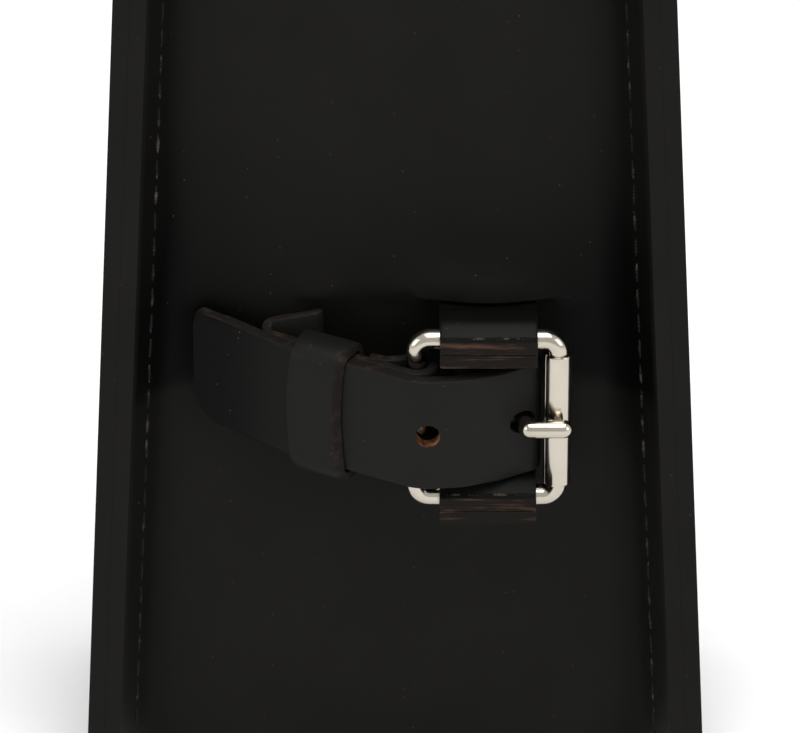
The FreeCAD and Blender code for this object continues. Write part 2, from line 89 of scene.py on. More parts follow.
def rim_point(inset, depth):
    """Distance in from the rim's outer edge and stand-off, for a depth down the flared slope."""
    return inset / math.cos(flare) + depth * math.sin(flare), rim_rise - depth * math.cos(flare)


def fall(value, width):
    """Bell curve."""
    return math.exp(-((value / width) ** 2))


def smooth(value, low, high):
    """Soft step from 0 at low to 1 at high."""
    share = min(1.0, max(0.0, (value - low) / (high - low)))
    return share * share * (3 - 2 * share)


# Each pucker at a strap's slit: across, rise, height, and how wide and tall it spreads.
slit_puckers = [(-14.0, 20.5, 1.6, 3.6, 2.8), (9.0, 23.5, 0.9, 3.4, 2.4)]
# The same beyond the upper and the lower tab: side, height, and how wide and tall it spreads.
tab_puckers = [(1, 4.2, 13.5, 5.5), (-1, 1.2, 13.0, 5.0)]
pucker_foot = 18.6
pucker_brow = 19.3
pucker_crest = 19.8
fold_height = 1.1
fold_fade = 14.0
patch_middle = 5.0
patch_half_wide = 27.0
patch_half_tall = 32.0


def wall_relief(x, rise):
    """How far the soft floor stands out: puckers at the slits' ends, and the fold at its sides."""
    pucker = 0.0
    for at_x, at_rise, height, wide, tall in slit_puckers:
        pucker += height * fall(x - at_x, wide) * fall(rise - at_rise, tall)
    for side, height, wide, tall in tab_puckers:
        beyond = side * rise
        foot = smooth(beyond, pucker_foot, pucker_brow)
        pucker += height * fall(x - tab_middle, wide) * foot * fall(max(0.0, beyond - pucker_crest), tall)
    fold = fold_height * (1 - smooth(rise, -1.0, 3.0)) * math.exp(-max(0.0, -rise) / fold_fade)
    sway = 0.35 * math.sin(x * 0.071 + rise * 0.043 + 0.8) + 0.25 * math.sin(rise * 0.11 - x * 0.05)
    beside_patch = smooth(abs(x - patch_middle), patch_half_wide, patch_half_wide + 7.0)
    past_patch = smooth(abs(rise), patch_half_tall, patch_half_tall + 10.0)
    return pucker + (fold + sway) * max(beside_patch, past_patch)


def fold_shade(x, rise):
    """How much painted shade the hollow above the fold gets, deepest near the wall's sides."""
    band = smooth(rise, 0.5, 3.0) * fall(max(0.0, rise - 6.0), 36.0)
    return 0.93 * band * (0.55 + 0.45 * smooth(abs(x), 18.0, 36.0))


def slit_for(x, rise, wide, high):
    """Left, right, lower and upper edge of a slit a hair smaller than the leather through it."""
    half_wide = wide / 2 - slit_nip
    half_high = high / 2 - slit_nip
    return x - half_wide, x + half_wide, rise - half_high, rise + half_high


slits = [
    slit_for(chape_slit_x, chape_slit_rise, chape_thick, strap_width),
    slit_for(billet_slit_x, 0.0, billet_thick, strap_width),
    slit_for(tab_middle, frame_half, tab_right - tab_left, 2 * tab_thick),
    slit_for(tab_middle, -frame_half, tab_right - tab_left, 2 * tab_thick),
]
slit_sides = sorted({edge for slit in slits for edge in slit[:2]})
slit_ends = sorted({buckle_z + edge for slit in slits for edge in slit[2:]})


def in_slit(x, rise):
    """Whether a place on the floor lies inside a slit."""
    return any(left < x < right and low < rise < high for left, right, low, high in slits)


def lines_with(marks, low, high, step):
    """Evenly spaced lines that also pass through every mark."""
    count = round((high - low) / step)
    plain = [low + (high - low) * k / count for k in range(count + 1)]
    kept = [p for p in plain if all(abs(p - m) > step * 0.4 for m in marks) or p in (low, high)]
    return sorted(kept + list(marks))


floor_columns = lines_with(slit_sides, -floor_half, floor_half, grid_step)
wall_rows = lines_with(slit_ends, 0.0, wall_height, grid_step)
flare_steps = 5
bend_steps = 8
arc_inset = rim_point(both_thick, flare_length)[0] + bend_radius * math.cos(flare)
side_columns = [rim_point(both_thick, flare_length * k / flare_steps) for k in range(flare_steps + 1)]
for k in range(1, bend_steps + 1):
    angle = math.radians(180 - flare_degrees - (90 - flare_degrees) * k / bend_steps)
    out = bend_radius - bend_radius * math.sin(angle)
    side_columns.append((arc_inset + bend_radius * math.cos(angle), out))


def wall_line(z):
    """Points across the wall's front face at one height, left to right."""
    reach = half_width(z)
    rise = z - buckle_z
    left = [(inset - reach, out) for inset, out in side_columns]
    right = [(-x, out) for x, out in reversed(left)]
    bend_end = left[-1][0]
    gap_left = [bend_end + (-floor_half - bend_end) * k / 4 for k in range(1, 4)]
    floor_x = gap_left + floor_columns + [-x for x in reversed(gap_left)]
    edge = reach - arc_inset
    blend_in = 6.0
    floor = [(x, wall_relief(x, rise) * min(1.0, max(0.0, (edge - abs(x)) / blend_in))) for x in floor_x]
    return [spot(x, out, rise) for x, out in left + floor + right]


def pulled_from(verts, made):
    """The new vertex that an extrusion pulled out of each old one."""
    fresh = {g for g in made if isinstance(g, bmesh.types.BMVert)}
    return [next(e.other_vert(v) for e in v.link_edges if e.other_vert(v) in fresh) for v in verts]


def raise_line(bm, first, rows, place):
    """A chain of points pulled upwards row by row into a sheet."""
    verts = [bm.verts.new(p) for p in first]
    chain = [bm.edges.new(pair) for pair in zip(verts, verts[1:])]
    for row in rows:
        verts = pulled_from(verts, bmesh.ops.extrude_edge_only(bm, edges=chain)["geom"])
        for vert, target in zip(verts, place(row)):
            vert.co = target
        chain = [bm.edges.get(pair) for pair in zip(verts, verts[1:])]


def finish_piece(bm, name, body, materials, *nodes):
    """Turns a bmesh into a named piece that rides on its body in place of its CAD nodes."""
    mesh = bpy.data.meshes.new(name)
    bm.to_mesh(mesh)
    bm.free()
    for mat in materials:
        mesh.materials.append(mat)
    mesh.shade_smooth()
    mesh.set_sharp_from_angle(angle=math.radians(40))
    piece = bpy.data.objects.new(name, mesh)
    bpy.context.scene.collection.objects.link(piece)
    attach(piece, body)
    if nodes:
        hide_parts(*nodes)
    return piece


def paint_shade(piece, rule):
    """Stores how much painted shade each point of a piece gets, for its leather finish to read."""
    marks = piece.data.attributes.new("shade", "FLOAT", "POINT")
    for vert, mark in zip(piece.data.vertices, marks.data):
        mark.value = rule(vert.co)


def soften(piece, width, sharper_than=30, harden=False):
    """Rounds a piece's sharp edges by a width in millimetres."""
    soft = piece.modifiers.new("soft_edges", "BEVEL")
    soft.width = width * MM
    soft.segments = 2
    soft.harden_normals = harden
    soft.limit_method = "ANGLE"
    soft.angle_limit = math.radians(sharper_than)


def add_group_socket(tree, name, way, kind, value=None):
    """One named input or output on a node group."""
    socket = tree.interface.new_socket(name=name, in_out=way, socket_type=kind)
    if value is not None:
        socket.default_value = value
    return socket


# Leather grain: fine pores and soft creases, worked out once and used by every leather finish.
grain_group = bpy.data.node_groups.new("leather_grain", "ShaderNodeTree")
add_group_socket(grain_group, "Vector", "INPUT", "NodeSocketVector")
add_group_socket(grain_group, "Pore Scale", "INPUT", "NodeSocketFloat", 1400.0)
add_group_socket(grain_group, "Height", "OUTPUT", "NodeSocketFloat")
add_group_socket(grain_group, "Cloud", "OUTPUT", "NodeSocketFloat")
add_group_socket(grain_group, "Speck", "OUTPUT", "NodeSocketFloat")
nodes = grain_group.nodes
links = grain_group.links
g_in = nodes.new("NodeGroupInput")
g_out = nodes.new("NodeGroupOutput")
pores = nodes.new("ShaderNodeTexVoronoi")
pores.feature = "DISTANCE_TO_EDGE"
links.new(g_in.outputs["Vector"], pores.inputs["Vector"])
links.new(g_in.outputs["Pore Scale"], pores.inputs["Scale"])
fine = nodes.new("ShaderNodeTexNoise")
fine.inputs["Scale"].default_value = 900.0
fine.inputs["Detail"].default_value = 5.0
links.new(g_in.outputs["Vector"], fine.inputs["Vector"])
cloud = nodes.new("ShaderNodeTexNoise")
cloud.inputs["Scale"].default_value = 45.0
cloud.inputs["Detail"].default_value = 6.0
links.new(g_in.outputs["Vector"], cloud.inputs["Vector"])
mix = nodes.new("ShaderNodeMath")
mix.operation = "MULTIPLY_ADD"
mix.inputs[1].default_value = 0.35
links.new(pores.outputs["Distance"], mix.inputs[0])
links.new(fine.outputs["Fac"], mix.inputs[2])
links.new(mix.outputs[0], g_out.inputs["Height"])
links.new(cloud.outputs["Fac"], g_out.inputs["Cloud"])
dust = nodes.new("ShaderNodeTexVoronoi")
dust.inputs["Scale"].default_value = 520.0
dust.inputs["Randomness"].default_value = 1.0
links.new(g_in.outputs["Vector"], dust.inputs["Vector"])
close = nodes.new("ShaderNodeMath")
close.operation = "LESS_THAN"
close.inputs[1].default_value = 0.06
links.new(dust.outputs["Distance"], close.inputs[0])
pick = nodes.new("ShaderNodeSeparateColor")
links.new(dust.outputs["Color"], pick.inputs["Color"])
rare = nodes.new("ShaderNodeMath")
rare.operation = "GREATER_THAN"
rare.inputs[1].default_value = 0.72
links.new(pick.outputs["Red"], rare.inputs[0])
speck = nodes.new("ShaderNodeMath")
speck.operation = "MULTIPLY"
links.new(close.outputs[0], speck.inputs[0])
links.new(rare.outputs[0], speck.inputs[1])
links.new(speck.outputs[0], g_out.inputs["Speck"])


def grain_leather(name, dark, light, roughness, sheen, bump):
    """Smooth dyed leather with fine grain and a little dust, darkened by painted shade where its shade
    attribute is high.
    """
    mat = bpy.data.materials.new(name)
    mat.use_nodes = True
    tree = mat.node_tree
    shader = tree.nodes["Principled BSDF"]
    coords = tree.nodes.new("ShaderNodeTexCoord")
    grain = tree.nodes.new("ShaderNodeGroup")
    grain.node_tree = grain_group
    tree.links.new(coords.outputs["Object"], grain.inputs["Vector"])
    tint = tree.nodes.new("ShaderNodeMix")
    tint.data_type = "RGBA"
    tint.inputs["A"].default_value = (*dark, 1)
    tint.inputs["B"].default_value = (*light, 1)
    tree.links.new(grain.outputs["Cloud"], tint.inputs["Factor"])
    dusty = tree.nodes.new("ShaderNodeMix")
    dusty.data_type = "RGBA"
    dusty.inputs["B"].default_value = (0.075, 0.052, 0.034, 1)
    tree.links.new(grain.outputs["Speck"], dusty.inputs["Factor"])
    # Painted shade: the base colour goes towards near black as the piece's shade attribute rises.
    depth = tree.nodes.new("ShaderNodeAttribute")
    depth.attribute_name = "shade"
    painted_shade = tree.nodes.new("ShaderNodeMix")
    painted_shade.data_type = "RGBA"
    painted_shade.inputs["B"].default_value = (0.0004, 0.0004, 0.0003, 1)
    tree.links.new(depth.outputs["Fac"], painted_shade.inputs["Factor"])
    tree.links.new(tint.outputs["Result"], painted_shade.inputs["A"])
    tree.links.new(painted_shade.outputs["Result"], dusty.inputs["A"])
    tree.links.new(dusty.outputs["Result"], shader.inputs["Base Color"])
    rough = tree.nodes.new("ShaderNodeMapRange")
    rough.inputs["To Min"].default_value = roughness - 0.06
    rough.inputs["To Max"].default_value = roughness + 0.08
    tree.links.new(grain.outputs["Cloud"], rough.inputs["Value"])
    tree.links.new(rough.outputs["Result"], shader.inputs["Roughness"])
    dent = tree.nodes.new("ShaderNodeBump")
    dent.inputs["Strength"].default_value = bump
    dent.inputs["Distance"].default_value = 0.0001
    tree.links.new(grain.outputs["Height"], dent.inputs["Height"])
    tree.links.new(dent.outputs["Normal"], shader.inputs["Normal"])
    shader.inputs["Specular IOR Level"].default_value = sheen
    return mat


def raw_leather(name, dark, tan, amount, stretch):
    """Cut leather edge: dark stained fibre with brown core showing in streaks."""
    mat = bpy.data.materials.new(name)
    mat.use_nodes = True
    tree = mat.node_tree
    shader = tree.nodes["Principled BSDF"]
    coords = tree.nodes.new("ShaderNodeTexCoord")
    turn = tree.nodes.new("ShaderNodeMapping")
    turn.inputs["Scale"].default_value = stretch
    tree.links.new(coords.outputs["Object"], turn.inputs["Vector"])
    fibre = tree.nodes.new("ShaderNodeTexNoise")
    fibre.inputs["Scale"].default_value = 420.0
    fibre.inputs["Detail"].default_value = 7.0
    fibre.inputs["Roughness"].default_value = 0.62
    tree.links.new(turn.outputs["Vector"], fibre.inputs["Vector"])
    ramp = tree.nodes.new("ShaderNodeValToRGB")
    ramp.color_ramp.elements[0].position = 0.50 - amount
    ramp.color_ramp.elements[0].color = (*dark, 1)
    ramp.color_ramp.elements[1].position = 0.66 - amount * 0.5
    ramp.color_ramp.elements[1].color = (*tan, 1)
    tree.links.new(fibre.outputs["Fac"], ramp.inputs["Fac"])
    tree.links.new(ramp.outputs["Color"], shader.inputs["Base Color"])
    dent = tree.nodes.new("ShaderNodeBump")
    dent.inputs["Strength"].default_value = 0.7
    dent.inputs["Distance"].default_value = 0.0004
    tree.links.new(fibre.outputs["Fac"], dent.inputs["Height"])
    tree.links.new(dent.outputs["Normal"], shader.inputs["Normal"])
    shader.inputs["Roughness"].default_value = 0.8
    shader.inputs["Specular IOR Level"].default_value = 0.08
    return mat


wall_leather = grain_leather(
    "wall_leather", dark=(0.0043, 0.0041, 0.0035), light=(0.0088, 0.0085, 0.0075),
    roughness=0.5, sheen=0.06, bump=0.4,
)
flesh_leather = raw_leather(
    "flesh_side", dark=(0.030, 0.022, 0.016), tan=(0.060, 0.044, 0.031), amount=0.06, stretch=(1, 1, 1),
)

bm = bmesh.new()
raise_line(bm, wall_line(wall_rows[0]), wall_rows[1:], wall_line)
gone = []
for face in bm.faces:
    middle = face.calc_center_median() / MM
    if in_slit(middle.x, middle.z - buckle_z):
        gone.append(face)
bmesh.ops.delete(bm, geom=gone, context="FACES")
bmesh.ops.recalc_face_normals(bm, faces=bm.faces)
if sum(f.normal.y for f in bm.faces) > 0:
    bmesh.ops.reverse_faces(bm, faces=bm.faces)
wall = finish_piece(bm, "wall_sheet", "wall", [wall_leather, flesh_leather], "side_wall")


def wall_shade(place):
    """Painted shade in the hollow above the fold and in the channels beside the rims."""
    x = abs(place.x / MM)
    reach = half_width(place.z / MM)
    rise = place.z / MM - buckle_z
    channel_shade = 0.5 * smooth(x, reach - 18.0, reach - 12.0)
    fold = fold_shade(place.x / MM, rise) * (1 - 0.5 * smooth(x, reach - 13.0, reach - 9.0))
    return min(0.95, fold + channel_shade) * (1 - smooth(-place.y / MM, 9.7, 10.7))


paint_shade(wall, wall_shade)
thick = wall.modifiers.new("thickness", "SOLIDIFY")
thick.thickness = wall_thick * MM
thick.offset = -1
thick.use_even_offset = True
thick.material_offset = 1
thick.material_offset_rim = 0

# The sheet's cut edge is squared off level with the big wall's, so that the rim reads as one.
solid = bpy.data.meshes.new_from_object(wall.evaluated_get(bpy.context.evaluated_depsgraph_get()))
wall.modifiers.clear()
wall.data = solid
square_inset = both_thick / math.cos(flare) - wall_thick * math.cos(flare)
square_out = rim_rise - wall_thick * math.sin(flare)
for vert in wall.data.vertices:
    inset = half_width(vert.co.z / MM) - abs(vert.co.x / MM)
    if abs(-vert.co.y / MM - square_out) < 0.15 and abs(inset - square_inset) < 0.25:
        vert.co.y = -rim_rise * MM
        vert.co.x += math.copysign(wall_thick * math.tan(flare) * math.sin(flare) * MM, vert.co.x)
leather_edge = 0.12
soften(wall, leather_edge, sharper_than=50, harden=True)

# ---- Big walls -------------------------------------------------------------
# The front and back of the bag, 2.8 mm leather. Their edges flare out and are sewn face to
# face with the side wall's turned edges, and the two cut edges are burnished as one rim.

panel_inner_radius = 6.0
panel_outer_radius = panel_inner_radius - panel_thick
bend_inset, bend_out = rim_point(panel_thick, flare_length)
hub_inset = bend_inset - panel_inner_radius * math.cos(flare)
hub_out = bend_out - panel_inner_radius * math.sin(flare)


def hub_arc(radius, start, end, count):
    """Points of the panel's bend behind the rim."""
    points = []
    for k in range(count + 1):
        angle = math.radians(start + (end - start) * k / count)
        points.append((hub_inset + radius * math.cos(angle), hub_out + radius * math.sin(angle)))
    return points


inner_bend = hub_arc(panel_inner_radius, flare_degrees, 0, 5)
outer_bend = hub_arc(panel_outer_radius, 0, flare_degrees, 5)
panel_depth = 38.0
rim_lip = 4.0
behind_bend = hub_out - 10.0
inner_face = inner_bend[-1][0]
outer_face = outer_bend[0][0]
panel_ring = [rim_point(0, 0), rim_point(panel_thick, 0), rim_point(panel_thick, rim_lip)]
panel_ring += inner_bend + [(inner_face, behind_bend), (inner_face, -panel_depth)]
panel_ring += [(outer_face, -panel_depth), (outer_face, behind_bend)] + outer_bend
panel_ring += [rim_point(0, rim_lip)]
panel_steps = 17
panel_rows = [wall_height * k / panel_steps for k in range(panel_steps + 1)]


def raise_ring(bm, ring, places):
    """A closed ring of points pulled along a list of sections into a capped solid."""
    verts = [bm.verts.new(p) for p in ring]
    face = bm.faces.new(verts)
    bottom = face
    for section in places:
        made = bmesh.ops.extrude_face_region(bm, geom=[face])["geom"]
        top = next(g for g in made if isinstance(g, bmesh.types.BMFace))
        if face is not bottom:
            bmesh.ops.delete(bm, geom=[face], context="FACES_ONLY")
        verts = pulled_from(verts, made)
        for vert, target in zip(verts, section):
            vert.co = target
        face = top
    bmesh.ops.recalc_face_normals(bm, faces=bm.faces)


for side, word in ((-1, "left"), (1, "right")):
    sections = []
    for z in panel_rows:
        reach = half_width(z)
        sections.append([spot(side * (reach - inset), out, z - buckle_z) for inset, out in panel_ring])
    bm = bmesh.new()
    raise_ring(bm, sections[0], sections[1:])
    panel = finish_piece(bm, word + "_wall", "wall", [wall_leather], word + "_panel")
    soften(panel, leather_edge, sharper_than=40, harden=True)

# ---- Rim seams -------------------------------------------------------------
# Waxed black thread sewn through both leathers 5.7 mm down from the rim. Each stitch dips
# into its two holes, so it lies as a short plump bead that catches the light at its ends.

seam_pitch = 5.3
seam_stitch = 3.7
seam_depth = 5.7
seam_start = 3.0
seam_count = int((wall_height - seam_start) / seam_pitch)
back_overlap = 0.35
hand_pitch = 4.4
hand_stitch = 3.0
thread_wide = 0.8
stitch_reach = 0.56
thread_half = 0.5
thread_flat = 0.42
slant_most = 0.06

thread_mat = bpy.data.materials.new("waxed_thread")
thread_mat.use_nodes = True
tree = thread_mat.node_tree
shader = tree.nodes["Principled BSDF"]
coords = tree.nodes.new("ShaderNodeTexCoord")
twist = tree.nodes.new("ShaderNodeTexWave")
twist.bands_direction = "DIAGONAL"
twist.inputs["Scale"].default_value = 900.0
twist.inputs["Distortion"].default_value = 1.5
tree.links.new(coords.outputs["Object"], twist.inputs["Vector"])
# The light tan spots in the thread's colour are painted glints.
glint_spots = tree.nodes.new("ShaderNodeTexNoise")
glint_spots.inputs["Scale"].default_value = 330.0
glint_spots.inputs["Detail"].default_value = 3.0
tree.links.new(coords.outputs["Object"], glint_spots.inputs["Vector"])
ramp = tree.nodes.new("ShaderNodeValToRGB")
ramp.color_ramp.elements[0].position = 0.52
ramp.color_ramp.elements[0].color = (0.003, 0.003, 0.0025, 1)
ramp.color_ramp.elements[1].position = 0.72
ramp.color_ramp.elements[1].color = (0.075, 0.058, 0.040, 1)
tree.links.new(glint_spots.outputs["Fac"], ramp.inputs["Fac"])
tree.links.new(ramp.outputs["Color"], shader.inputs["Base Color"])
dent = tree.nodes.new("ShaderNodeBump")
dent.inputs["Strength"].default_value = 0.6
dent.inputs["Distance"].default_value = 0.0002
tree.links.new(twist.outputs["Fac"], dent.inputs["Height"])
tree.links.new(dent.outputs["Normal"], shader.inputs["Normal"])
shader.inputs["Roughness"].default_value = 0.5
shader.inputs["Specular IOR Level"].default_value = 0.12


def sew(bm, start, along, lift, count, pitch, stitch, shift=0.0):
    """A row of plump stitches on one face of the leather."""
    side = along.cross(lift)
    for k in range(count):
        middle = start + along * ((k * pitch + stitch / 2 + shift) * MM)
        slant = along + side * random.uniform(-slant_most, slant_most)
        slant.normalize()
        turn = Matrix((slant, side, lift)).transposed().to_4x4()
        size = Vector((stitch * stitch_reach, thread_wide * thread_half, thread_wide * thread_flat)) * MM
        place = Matrix.Translation(middle) @ turn @ Matrix.Diagonal(size).to_4x4()
        bmesh.ops.create_uvsphere(bm, u_segments=8, v_segments=8, radius=1, matrix=place)


def hand_row(count):
    """Length of a row of hand-sewn stitches."""
    return (count - 1) * hand_pitch + hand_stitch


random.seed(11)
for side, word in ((-1, "left"), (1, "right")):
    bm = bmesh.new()
    for inset, way in ((both_thick, 1), (0.0, -1)):
        across, out = rim_point(inset, seam_depth)
        low = spot(side * (half_width(0) - across), out, -buckle_z)
        high = spot(side * (half_width(wall_height) - across), out, wall_height - buckle_z)
        along = (high - low).normalized()
        lift = Vector((-side * math.cos(flare), -math.sin(flare), 0)) * way
        lift = (lift - along * lift.dot(along)).normalized()
        start = low + along * seam_start * MM
        if way > 0:
            sew(bm, start, along, lift, seam_count, seam_pitch, seam_stitch)
        else:
            gap = seam_pitch - seam_stitch + 2 * back_overlap
            sew(bm, start, along, lift, seam_count - 1, seam_pitch, gap, seam_stitch - back_overlap)
    seam = finish_piece(bm, word + "_seam", "wall", [thread_mat], word + "_seam_thread")

# ---- Backing patch ---------------------------------------------------------
# A second leather glued behind the floor, flesh side out, that takes the pull of the straps.

bm = bmesh.new()
bmesh.ops.create_cube(bm, size=1)
low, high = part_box("backing_patch")
bmesh.ops.scale(bm, vec=high - low, verts=bm.verts)
bmesh.ops.translate(bm, vec=(low + high) / 2, verts=bm.verts)
cuts = [((x * MM, 0, 0), (1, 0, 0)) for x in slit_sides] + [((0, 0, z * MM), (0, 0, 1)) for z in slit_ends]
for place, way in cuts:
    everything = bm.verts[:] + bm.edges[:] + bm.faces[:]
    bmesh.ops.bisect_plane(bm, geom=everything, plane_co=place, plane_no=way)
gone = []
for face in bm.faces:
    middle = face.calc_center_median() / MM
    if abs(face.normal.y) > 0.9 and in_slit(middle.x, middle.z - buckle_z):
        gone.append(face)
bmesh.ops.delete(bm, geom=gone, context="FACES")
halfway = (low.y + high.y) / 2
front_rims = [e for e in bm.edges if e.is_boundary and (e.verts[0].co.y + e.verts[1].co.y) / 2 < halfway]
for vert in bmesh.ops.extrude_edge_only(bm, edges=front_rims)["geom"]:
    if isinstance(vert, bmesh.types.BMVert):
        vert.co.y = high.y
bmesh.ops.remove_doubles(bm, verts=bm.verts, dist=0.00001)
bmesh.ops.recalc_face_normals(bm, faces=bm.faces)
piece = finish_piece(bm, "patch", "wall", [flesh_leather], "backing_patch")
soften(piece, 0.3)

# ---- Chape strap -----------------------------------------------------------
# The strap that holds the buckle, 2 mm leather. It comes out of its slot, loops back to the
# right under the free strap and folds round the frame's near bar, with a slot for the prong.

bar_near = 3.9
bar_far = 30.2
frame_out = 11.5
wire = 2.0
layer_gap = 0.15
running_gap = 0.15
inside_gap = 0.05
strap_slope = 0.4245
slope_stretch = math.hypot(1, strap_slope)
strap_climb = 0.09
crest = bar_near + 0.5
patch_back = wall_thick + 1.6
layer_step = (billet_thick + chape_thick) / 2 + layer_gap
wrap = wire + running_gap + chape_thick / 2
bar_crown = frame_out + (wrap + layer_step) * slope_stretch


def billet_line(x):
    """Stand-off of the straight part of the free strap's middle."""
    return bar_crown + (x - bar_near) * strap_slope


def chape_line(x):
    """Stand-off of the chape's middle under it."""
    return billet_line(x) - layer_step * slope_stretch


def drift(x):
    """How far the straps climb as they run left."""
    return strap_climb * max(0.0, crest - x)


def rounded_path(corners, step=7.0):
    """Points along a line whose corners (across, out, rise, radius) become arcs."""
    path = [Vector(corners[0][:3])]
    for before, here, after in zip(corners, corners[1:], corners[2:]):
        arrive = Vector((here[0] - before[0], here[1] - before[1]))
        leave = Vector((after[0] - here[0], after[1] - here[1]))
        rise_in = (here[2] - before[2]) / arrive.length
        rise_out = (after[2] - here[2]) / leave.length
        arrive.normalize()
        leave.normalize()
        turn = math.atan2(arrive.x * leave.y - arrive.y * leave.x, arrive.dot(leave))
        if here[3] == 0 or abs(turn) < 0.01:
            path.append(Vector(here[:3]))
            continue
        tangent = here[3] * math.tan(abs(turn) / 2)
        side = math.copysign(1.0, turn)
        start = Vector(here[:2]) - arrive * tangent
        centre = start + Vector((-arrive.y, arrive.x)) * here[3] * side
        low = here[2] - rise_in * tangent
        high = here[2] + rise_out * tangent
        steps = max(3, math.ceil(math.degrees(abs(turn)) / step))
        for k in range(steps + 1):
            share = k / steps
            arm = start - centre
            arm.rotate(Matrix.Rotation(turn * share, 2))
            place = centre + arm
            path.append(Vector((place.x, place.y, low + (high - low) * share)))
    path.append(Vector(corners[-1][:3]))
    return path


def evened(path, step):
    """The same line with long runs cut into shorter ones."""
    points = [path[0]]
    for start, end in zip(path, path[1:]):
        count = max(1, round((end - start).length / step))
        points += [start.lerp(end, k / count) for k in range(1, count + 1)]
    return points


def cross_section(thick, width, edge, spans):
    """Ring of a strap's section: flat faces with eased corners, as (normal, across) offsets."""
    ring = []
    for sx, sy, start in ((1, 1, 0), (-1, 1, 90), (-1, -1, 180), (1, -1, 270)):
        for k in range(4):
            angle = math.radians(start + 30 * k)
            ring.append((
                sx * (thick / 2 - edge) + edge * math.cos(angle),
                sy * (width / 2 - edge) + edge * math.sin(angle),
            ))
        if sx * sy < 0:
            way = -sy
            reach = width / 2 - edge
            for k in range(1, spans):
                ring.append((sx * thick / 2, -way * reach + way * 2 * reach * k / spans))
    return ring


def plan_normals(path):
    """Unit normals in the plan for every point of a path."""
    normals = []
    for k in range(len(path)):
        run = path[min(k + 1, len(path) - 1)] - path[max(k - 1, 0)]
        normals.append(Vector((-run.y, run.x)).normalized())
    return normals


def bent_strap(path, thick, width, edge=0.45, spans=12, raw=1):
    """A bmesh of a strap bent along a path, with its cut edges in the second material."""
    ring = cross_section(thick, width, edge, spans)
    sections = []
    for place, normal in zip(path, plan_normals(path)):
        section = []
        for off, across in ring:
            section.append(spot(place.x + normal.x * off, place.y + normal.y * off, place.z + across))
        sections.append(section)
    bm = bmesh.new()
    raise_ring(bm, sections[0], sections[1:])
    for face in bm.faces:
        if abs(face.normal.z) > 0.75 or len(face.verts) > 4:
            face.material_index = raw
    return bm


def cut_with(piece, cutter_bms):
    """Cuts holes through a finished mesh."""
    for cutter_bm in cutter_bms:
        mesh = bpy.data.meshes.new("cutter")
        cutter_bm.to_mesh(mesh)
        cutter_bm.free()
        for mat in piece.data.materials:
            mesh.materials.append(mat)
        cutter = bpy.data.objects.new("cutter", mesh)
        bpy.context.scene.collection.objects.link(cutter)
        cut = piece.modifiers.new("hole", "BOOLEAN")
        cut.object = cutter
        cut.solver = "EXACT"
        cut.operation = "DIFFERENCE"
        depsgraph = bpy.context.evaluated_depsgraph_get()
        done = bpy.data.meshes.new_from_object(piece.evaluated_get(depsgraph))
        piece.modifiers.clear()
        piece.data = done
        bpy.data.objects.remove(cutter)


strap_leather = grain_leather(
    "strap_leather", dark=(0.0070, 0.0068, 0.0062), light=(0.0092, 0.0090, 0.0083),
    roughness=0.45, sheen=0.07, bump=0.3,
)
raw_edge = raw_leather(
    "raw_edge", dark=(0.0085, 0.007, 0.006), tan=(0.026, 0.016, 0.011), amount=0.0, stretch=(1, 1, 1),
)
raw_core = raw_leather(
    "raw_core", dark=(0.035, 0.013, 0.007), tan=(0.24, 0.10, 0.05), amount=0.10, stretch=(1, 1, 1),
)

inside = -(patch_back + chape_thick / 2 + inside_gap)
behind = chape_thick / 2 + inside_gap
slope_start = -7.6
slope_end = -3.0
slit_bend = 1.3
loop_x = slope_start + (behind - chape_line(slope_start)) / strap_slope
chape_route = rounded_path([
    (-2.0, inside, chape_slit_rise, 0),
    (chape_slit_x, inside, chape_slit_rise, slit_bend),
    (chape_slit_x, behind, chape_slit_rise, slit_bend),
    (loop_x, behind, drift(loop_x), chape_thick / 2 + 0.25),
    (slope_end, chape_line(slope_end), drift(slope_end), 0),
])
wrap_from = 113
wrap_to = -111
for degrees in range(wrap_from, wrap_to, -8):
    spoke = math.radians(degrees)
    x = bar_near + wrap * math.cos(spoke)
    chape_route.append(Vector((x, frame_out + wrap * math.sin(spoke), drift(x) / 2)))
last = chape_route[-1]
chape_route += rounded_path([
    (last.x, last.y, last.z, 0),
    (-1.6, chape_line(-1.6) - (chape_thick + 0.5) * slope_stretch, 0.3, 2.2),
    (-4.5, chape_line(-4.5) - (chape_thick + 0.3) * slope_stretch, 0.5, 0),
])[1:]
bm = bent_strap(evened(chape_route, 1.6), chape_thick, strap_width)
chape = finish_piece(bm, "chape", "wall", [strap_leather, raw_edge], "chape_strap")
slot_bm = bmesh.new()
bmesh.ops.create_cube(slot_bm, size=1)
prong_slot_size = Vector((10.0, 12.0, 4.6)) * MM
bmesh.ops.scale(slot_bm, vec=prong_slot_size, verts=slot_bm.verts)
bmesh.ops.translate(slot_bm, vec=spot(bar_near + 0.8, frame_out, 0), verts=slot_bm.verts)
for face in slot_bm.faces:
    face.material_index = 1
cut_with(chape, [slot_bm])

# ---- Buckle ----------------------------------------------------------------
# Nickel-plated steel: a closed frame of 4 mm wire, a roller rolled up from sheet so that its
# joint shows as a line, and a prong with a rolled eye. All three are polished.

